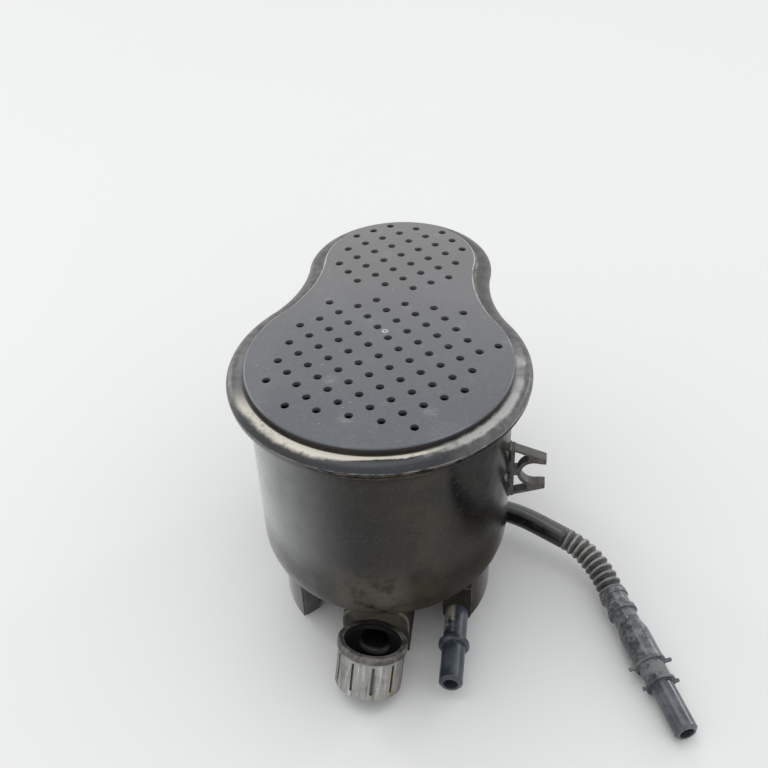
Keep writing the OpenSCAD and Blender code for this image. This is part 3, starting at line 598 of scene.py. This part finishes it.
def socket_look():
    """The grooved cup: grey dust outside with streaks of painted highlight and painted shade at its sides, a
    dark rim with a painted highlight on its edge, dark grooves, and black painted shade inside and on the
    duct.
    """
    look = Look("socket_plastic")
    colour, film_and_sheen = dusty(look, CUP_GREY, CUP_DUST, 0.85, 3 * MM)
    inputs = {0: look.place, 1: CUP_AT, 2: CUP_TURN}
    cup_place = look.node("ShaderNodeMapping", inputs, vector_type="TEXTURE").outputs[0]
    across, along, height_up = look.parts(cup_place)
    radius = look.measure("LENGTH", look.flat((across, along)))

    # Painted highlights: pale vertical streaks on the cup's facets; darker streaks between them
    streak = look.noise(1.1 * MM, 3, 0.6, stretch=(1, 1, 14), place=cup_place)
    colour = look.mix(look.band(streak, 0.52, 0.64, 0, 0.8), colour, STREAK_HIGHLIGHT)
    colour = look.mix(look.band(streak, 0.46, 0.34, 0, 0.6), colour, STREAK_DARK)
    stain = look.noise(5 * MM, 3, shift=(2, 0, 1))
    colour = look.mix(look.band(stain, 0.52, 0.66, 0, 0.55), colour, TAN)
    # Painted shade: the cup darkens towards its left and right, where its round wall turns away
    sides = look.band(look.math("ABSOLUTE", across), 9 * MM, 14 * MM)
    colour = look.mix(look.times(sides, 0.6), colour, CUP_SIDE_SHADE)

    rim = look.band(height_up, CUP_H - 3.4 * MM, CUP_H - 2.6 * MM)
    rim_dirt = look.mix(look.band(look.noise(2 * MM, 4), 0.42, 0.62), RIM_DARK, RIM_LIGHT)
    colour = look.mix(look.times(rim, 0.9), colour, rim_dirt)
    # Painted highlight: a pale broken line along the rim's edges
    edge_highlight = look.times(look.edges(0.5 * MM), rim, look.band(look.noise(3 * MM, 3), 0.40, 0.55))
    colour = look.mix(look.times(edge_highlight, 0.7), colour, RIM_EDGE_HIGHLIGHT)
    groove = look.band(radius, CUP_WALL_R - 0.15 * MM, CUP_WALL_R - 0.5 * MM)
    colour = look.mix(look.times(groove, look.flip(rim)), colour, CUP_GROOVES)
    # Painted shade: the bore inside the cup is painted near black
    in_bore = look.band(radius, CUP_BORE_R + 0.3 * MM, CUP_BORE_R)
    inside = look.times(in_bore, look.band(height_up, CUP_H, CUP_H - MM))
    colour = look.mix(inside, colour, CUP_INSIDE_SHADE)
    # Painted shade: the duct behind the cup, under the pot, is painted near black
    duct = look.band(look.xyz[1], -54 * MM, -50 * MM)
    colour = look.mix(duct, colour, DIRT_AND_SHADE)

    rough = look.plus(look.times(film_and_sheen, 0.2), look.times(inside, 0.4), 0.26)
    height = look.plus(look.times(look.noise(0.5 * MM, 3), 0.3), look.times(film_and_sheen, 0.25),
                       look.times(streak, 0.6))
    shine = look.plus(look.times(inside, -0.4), 0.5)
    return look.finish(colour, rough, height, depth=0.07 * MM, edge=0.3 * MM, Specular_IOR_Level=shine)


PIPE_WEAR_AND_GLINT = (0.30, 0.31, 0.33)


def pipe_look(name, dark, light, dirt, dirt_from, dirt_to, dirt_right, gloss):
    """Smooth slate plastic, with dry dirt on top between two places along Y, up to a place along X."""
    look = Look(name)
    x, y = look.xyz[0], look.xyz[1]
    cloud = look.noise(4 * MM, 4)
    colour = look.mix(look.band(cloud, 0.38, 0.66), dark, light)
    colour = look.mix(look.times(look.specks(1.4 * MM, 0.2), 0.5), colour, tuple(2.4 * c for c in light))
    # Wear and painted highlight: pale broken edges
    worn_and_glinting = look.times(look.edges(0.35 * MM), look.band(look.noise(2 * MM, 3), 0.4, 0.6))
    colour = look.mix(look.times(worn_and_glinting, 0.6), colour, PIPE_WEAR_AND_GLINT)
    there = look.times(look.between(y, dirt_from, dirt_from + 2 * MM, dirt_to - 2 * MM, dirt_to),
                       look.band(x, dirt_right, dirt_right - 1.5 * MM))
    blots = look.plus(look.noise(2.5 * MM, 5, 0.7, shift=(5, 2, 0)),
                      look.band(y, dirt_from, dirt_to, -0.08, 0.08))
    patch = look.times(there, look.band(blots, 0.43, 0.55), look.band(look.up, -0.2, 0.4))
    colour = look.mix(look.times(patch, 0.9), colour, dirt)
    rough = look.plus(look.times(cloud, 0.2), look.times(patch, 0.4), gloss)
    height = look.plus(look.times(look.noise(0.5 * MM, 3), 0.2), look.times(patch, 0.6))
    return look.finish(colour, rough, height, depth=0.05 * MM, edge=0.3 * MM)


# Hose colours
HOSE_BLACK, HOSE_CLOUD = (0.006, 0.006, 0.006), (0.020, 0.019, 0.018)
HOSE_TOP_SHEEN = (0.085, 0.086, 0.088)
FIRST_DUST, LAST_DUST = (0.31, 0.306, 0.295), (0.17, 0.173, 0.18)
FIRST_FURROW, LAST_FURROW = (0.046, 0.043, 0.039), (0.018, 0.019, 0.022)


def hose_look():
    """Satin black where smooth, with a painted sheen along its top, and dust on the ribs' crests that thins
    out along the hose.
    """
    look = Look("hose_plastic")
    ribbed = look.node("ShaderNodeAttribute", attribute_name="ribbed").outputs["Fac"]
    crest = look.node("ShaderNodeAttribute", attribute_name="crest").outputs["Fac"]
    up = look.band(look.up, -0.3, 0.7)
    cloud = look.noise(1.5 * MM, 4, 0.65)
    smooth = look.mix(look.band(cloud, 0.4, 0.7), HOSE_BLACK, HOSE_CLOUD)
    # Painted sheen: a grey band along the top of the smooth part
    sheen_on_top = look.times(look.band(look.up, 0.62, 0.86), look.band(cloud, 0.2, 0.5))
    smooth = look.mix(sheen_on_top, smooth, HOSE_TOP_SHEEN)
    first = look.band(look.xyz[1], -14 * MM, 6 * MM)
    dust = look.mix(first, LAST_DUST, FIRST_DUST)
    furrow = look.mix(first, LAST_FURROW, FIRST_FURROW)
    level = look.plus(look.times(look.math("POWER", crest, 2.0), 0.6), look.times(cloud, 0.9),
                      look.times(up, 0.12))
    dusty_ribs = look.mix(look.band(level, 0.62, 1.15), furrow, dust)
    colour = look.mix(ribbed, smooth, dusty_ribs)
    rough = look.plus(look.times(ribbed, 0.12), look.times(cloud, 0.15), 0.14)
    height = look.times(look.noise(0.5 * MM, 3), 0.3)
    return look.finish(colour, rough, height, depth=0.04 * MM, edge=0)


def plain_look(name, dark, light, size, rough, **more):
    """A material of two close shades in lumps of the given size."""
    look = Look(name)
    cloud = look.noise(size, 4, 0.6)
    colour = look.mix(look.band(cloud, 0.35, 0.65), dark, light)
    roughness = look.plus(look.times(cloud, 0.2), rough - 0.1)
    return look.finish(colour, roughness, look.times(cloud, 0.5), edge=0, **more)


# The look of each piece
LOOKS = {
    "canister_body": body_look(),
    "perforated_lid": lid_look(),
    "vent_socket": socket_look(),
    "vent_seal": plain_look("seal_rubber", dark=(0.012, 0.012, 0.015), light=(0.018, 0.018, 0.022),
                            size=2 * MM, rough=0.8, Specular_IOR_Level=0.1),
    "purge_nipple": pipe_look("pipe_plastic", dark=(0.024, 0.031, 0.043), light=(0.060, 0.070, 0.086),
                              dirt=(0.36, 0.34, 0.27), dirt_from=-47 * MM, dirt_to=-31 * MM,
                              dirt_right=34.5 * MM, gloss=0.22),
    "coupling_spigot": pipe_look("spigot_plastic", dark=(0.055, 0.061, 0.071), light=(0.105, 0.113, 0.125),
                                 dirt=(0.17, 0.17, 0.168), dirt_from=-61 * MM, dirt_to=-50 * MM,
                                 dirt_right=130 * MM, gloss=0.10),
    "hose_cuff": dusty_look("cuff_plastic", dark=(0.060, 0.065, 0.072), dust=(0.23, 0.235, 0.24),
                            cover=0.26, rough=0.28, size=1.3 * MM, soft=0.2),
    "coupling_body": dusty_look("coupling_plastic", dark=(0.056, 0.061, 0.068), dust=(0.21, 0.216, 0.223),
                                cover=0.24, rough=0.22, size=1.6 * MM, soft=0.2),
    "hose_clip": dusty_look("clip_plastic", dark=(0.026, 0.024, 0.021), dust=(0.105, 0.099, 0.090),
                            cover=0.6, rough=0.36, size=2 * MM),
}
LOOKS["hose_stub"] = LOOKS["purge_nipple"]
SPRING = plain_look("spring_steel", dark=(0.32, 0.32, 0.33), light=(0.50, 0.50, 0.51), size=MM, rough=0.35,
                    Metallic=1.0)
GRID = plain_look("grid_plastic", dark=(0.42, 0.41, 0.37), light=(0.55, 0.54, 0.50), size=6 * MM, rough=0.5)
FLEECE = plain_look("fleece", dark=(0.50, 0.49, 0.45), light=(0.74, 0.73, 0.69), size=0.8 * MM, rough=0.9)
CARBON = plain_look("carbon", dark=(0.012, 0.012, 0.012), light=(0.04, 0.04, 0.04), size=1.5 * MM, rough=0.7)
INSIDE = {"spring_": SPRING, "pressure_grid_": GRID, "support_grid_": GRID, "upper_fleece_": FLEECE,
          "lower_fleece_": FLEECE, "carbon_bed_": CARBON}
for lobe in ("large", "small"):
    for start, material in INSIDE.items():
        LOOKS[start + lobe] = material


def dress(piece, material):
    piece.data.materials.clear()
    piece.data.materials.append(material)


for name, material in LOOKS.items():
    dress(NODES[name], material)
dress(hose, hose_look())

# Floor and soft light, with each lamp's place, its width and height, and its power in watts
FLOOR_SIZE = 6.0
FLOOR_DARK, FLOOR_LIGHT = (0.75, 0.75, 0.745), (0.79, 0.79, 0.785)
FLOOR_LUMPS = 0.4
FLOOR_ROUGH = 0.6
SKY = (0.98, 0.99, 1.0, 1)
SKY_STRENGTH = 0.95
LAMP_AIM = Vector((0, 0.02, 0.06))
LAMPS = {"top_lamp": ((-0.2, 0.1, 1.3), (1.0, 0.8), 3),
         "left_lamp": ((-2.13, 1.8, 1.1), (0.3, 0.9), 8),
         "right_lamp": ((1.9, 2.0, 1.1), (0.25, 0.9), 5)}


def make_floor():
    bpy.ops.mesh.primitive_plane_add(size=FLOOR_SIZE, location=(0, 0, 0))
    floor = bpy.context.object
    floor.name = "floor"
    look = Look("floor")
    colour = look.mix(look.noise(FLOOR_LUMPS, 2), FLOOR_DARK, FLOOR_LIGHT)
    dress(floor, look.finish(colour, FLOOR_ROUGH, edge=0))


def make_lamp(name, at, size, power):
    data = bpy.data.lights.new(name, "AREA")
    data.shape = "RECTANGLE"
    data.size, data.size_y = size
    data.energy = power
    lamp = bpy.data.objects.new(name, data)
    SCENE.collection.objects.link(lamp)
    lamp.location = at
    lamp.rotation_euler = (LAMP_AIM - Vector(at)).to_track_quat("-Z", "Y").to_euler()


def make_world():
    world = bpy.data.worlds.new("world")
    world.use_nodes = True
    sky = world.node_tree.nodes["Background"]
    sky.inputs["Color"].default_value = SKY
    sky.inputs["Strength"].default_value = SKY_STRENGTH
    SCENE.world = world


make_floor()
make_world()
for name, (at, size, power) in LAMPS.items():
    make_lamp(name, at, size, power)
SCENE.view_settings.view_transform = "Standard"
